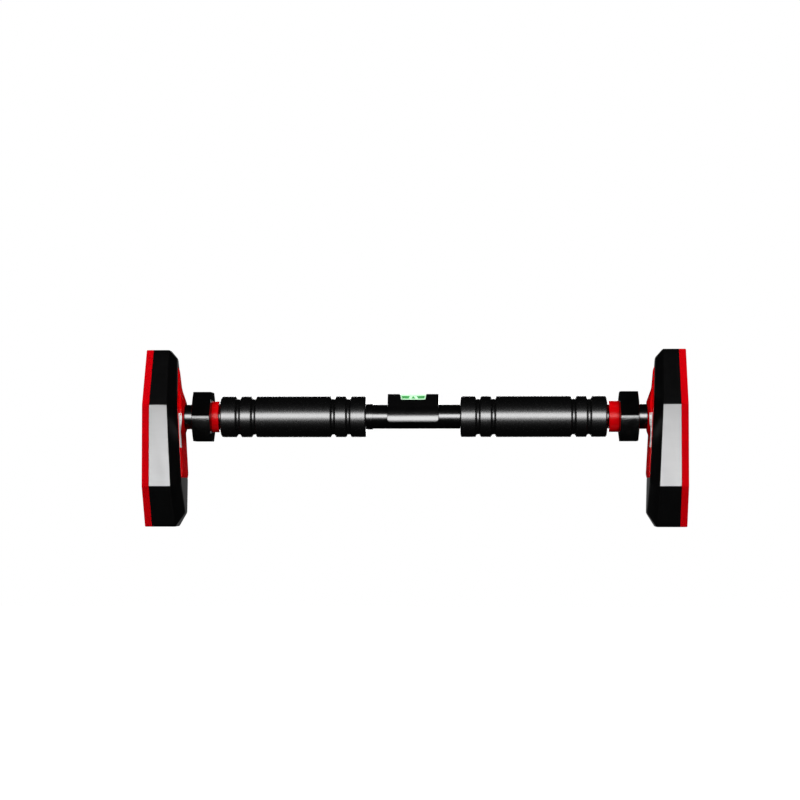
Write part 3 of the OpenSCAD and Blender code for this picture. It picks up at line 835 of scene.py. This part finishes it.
def vial_marks():
    """Two dark green bands on the front, back and top of the block, and a small mark between them in front
    and behind."""
    middle = (vial_low.x + vial_high.x) / 2
    z0, z1 = vial_low.z + 1.9 * MM, vial_high.z - 1.9 * MM
    centre_mark = [(-3.6, 0), (3.6, 0), (0.35, 0.87), (-0.35, 0.87)]
    shapes = [
        [(-17.5, 0), (-8.0, 0), (-5.2, 1), (-18.6, 1)],
        [(8.0, 0), (17.5, 0), (18.6, 1), (5.2, 1)],
        centre_mark,
    ]
    bm = bmesh.new()
    for shape in shapes:
        for s in (-1, 1):
            loops = [[(middle + x * MM, s * y, z0 + (z1 - z0) * t) for x, t in shape]
                     for y in (vial_high.y - 0.45 * MM, vial_high.y - 0.1 * MM)]
            add_loops(bm, loops, closed_profile=False, cap=True)
        if shape is not centre_mark:
            loops = [[(middle + x * MM, (t - 0.5) * 5 * MM, z) for x, t in shape]
                     for z in (vial_high.z - 0.3 * MM, vial_high.z + 0.06 * MM)]
            add_loops(bm, loops, closed_profile=False, cap=True)
    return finish_mesh("level_marks", bm)


place(level_vial(), "level", VIAL, ["level_vial"])
place(vial_cylinder(), "level", LIQUID, ["vial_liquid"])
place(vial_marks(), "level", MARK_GREEN)

# ---------------------------------------------------------------- stage, lights and camera
stage_material = material("pale_floor", (0.9, 0.9, 0.9), 0.9, vary=0.01, bump=0.0)
bpy.ops.mesh.primitive_plane_add(size=60, location=(0, 0, -2.0))
floor = bpy.context.object
floor.name = "floor"
floor.data.materials.append(stage_material)
emit = stage_material.node_tree.nodes["Principled BSDF"]
emit.inputs["Emission Color"].default_value = (1, 1, 1, 1)
emit.inputs["Emission Strength"].default_value = 1.1
floor.visible_glossy = False
floor.visible_diffuse = False

world = bpy.data.worlds.new("studio")
bpy.context.scene.world = world
world.use_nodes = True
wn, wl = world.node_tree.nodes, world.node_tree.links
wn.clear()
w_out = wn.new("ShaderNodeOutputWorld")
w_mix = wn.new("ShaderNodeMixShader")
w_path = wn.new("ShaderNodeLightPath")
w_seen = wn.new("ShaderNodeBackground")
w_lit = wn.new("ShaderNodeBackground")
w_seen.inputs["Color"].default_value = (1, 1, 1, 1)
w_seen.inputs["Strength"].default_value = 1.0
w_lit.inputs["Color"].default_value = (1, 1, 1, 1)
w_lit.inputs["Strength"].default_value = 0.006
wl.new(w_path.outputs["Is Camera Ray"], w_mix.inputs["Fac"])
wl.new(w_lit.outputs[0], w_mix.inputs[1])
wl.new(w_seen.outputs[0], w_mix.inputs[2])
wl.new(w_mix.outputs[0], w_out.inputs["Surface"])


def softbox(name, location, target, width, height, power, glossy=True, diffuse=True):
    light = bpy.data.lights.new(name, "AREA")
    light.shape, light.size, light.size_y, light.energy = "RECTANGLE", width, height, power
    obj = bpy.data.objects.new(name, light)
    obj.location = location
    obj.rotation_euler = (Vector(target) - Vector(location)).to_track_quat("-Z", "Y").to_euler()
    obj.visible_glossy, obj.visible_diffuse, obj.visible_camera = glossy, diffuse, False
    bpy.context.scene.collection.objects.link(obj)
    return obj


# the long box gives every dark tube its one soft bright band; it adds nothing to matt surfaces
band_core = softbox("band_core", (0.0, -5.0, 0.40), (0, 0, 0), 9.0, 2.3, 950, diffuse=False)
band_halo = softbox("band_halo", (0.0, -5.2, 0.25), (0, 0, 0), 9.0, 3.9, 560, diffuse=False)
back_glow = softbox("back_glow", (0.0, 4.5, 0.1), (0, 0, 0), 12.0, 5.0, 34, diffuse=False)
softbox("front_key", (0.0, -4.0, 0.9), (0, 0, 0), 5.0, 2.0, 150, glossy=False)
softbox("left_side", (-3.5, 0.0, 0.3), (0, 0, 0), 2.0, 2.0, 50, glossy=False)
softbox("right_side", (3.5, 0.0, 0.3), (0, 0, 0), 2.0, 2.0, 50, glossy=False)
softbox("back_key", (0.0, 4.0, 0.9), (0, 0, 0), 5.0, 2.0, 120, glossy=False)
back_band = softbox("back_band", (0.0, 5.0, 0.5), (0, 0, 0), 9.0, 2.3, 380, diffuse=False)
softbox("top_box", (0.0, -0.6, 3.2), (0, 0, 0), 4.0, 1.2, 40, glossy=False)
softbox("under_box", (0.0, -0.8, -3.2), (0, 0, 0), 4.0, 1.2, 46, glossy=False)

# a low strip, seen by the hand knobs alone, brightens their lower front facets
knob_strip = softbox("knob_strip", (0.0, -0.112, -0.083), (0, -0.044, -0.004), 1.7, 0.018, 1.7,
                     diffuse=False)


def light_only(light, set_name, wanted):
    """Limit a light to the meshes whose names start with one of the wanted words."""
    lit = bpy.data.collections.new(set_name)
    for obj in bpy.data.objects:
        if obj.type == "MESH" and obj.name.startswith(wanted):
            lit.objects.link(obj)
    light.light_linking.receiver_collection = lit


KNOBS = ("knob_left", "knob_right")
BAR_NOT_KNOBS = ("inner_tube", "outer_tube", "grip_", "lock_ring_", "neck_bush_", "level_")
DARK_BAR = BAR_NOT_KNOBS + KNOBS
DARK_PADS = ("pad_shell_", "pad_cover_", "pinstripe_", "wall_pad_", "side_trims_")
light_only(knob_strip, "knobs_only", KNOBS)
# the pale backdrop shows only in the black shells' edges
light_only(back_glow, "shells_only", ("pad_shell_",))
light_only(back_band, "bar_only", BAR_NOT_KNOBS)
light_only(band_core, "band_core_lit", DARK_BAR + DARK_PADS)
light_only(band_halo, "band_halo_lit", DARK_BAR + DARK_PADS)
# bright metal gets broad dim boxes all round it instead of the strong band
BRIGHT_SLOTS = ("plated_steel", "bare_steel", "acetal")
STEEL = ("lead_screw_",) + tuple(n for n in frame["nodes"] if SLOT_OF[n] in BRIGHT_SLOTS)
STEEL_BOXES = (
    ("front", (0.0, -4.5, 0.9), 3.6, 190),
    ("back", (0.0, 4.5, 0.9), 3.6, 190),
    ("above", (0.0, 0.0, 4.0), 2.4, 110),
    ("below", (0.0, 0.0, -4.0), 2.4, 50),
)
for where_to, spot, size_y, power in STEEL_BOXES:
    light_only(softbox(f"steel_{where_to}", spot, (0, 0, 0), 9.0, size_y, power, diffuse=False),
               f"steel_lit_{where_to}", STEEL)

cam_data = bpy.data.cameras.new("camera")
cam_data.sensor_width = 36.0
cam_data.lens = 99.81
cam = bpy.data.objects.new("camera", cam_data)
cam.location = (0.135, -3.560, -0.105)
cam.rotation_euler = (math.radians(90 + 2.118), 0, math.radians(2.566))
bpy.context.scene.collection.objects.link(cam)
bpy.context.scene.camera = cam
bpy.context.scene.view_settings.view_transform = "Standard"
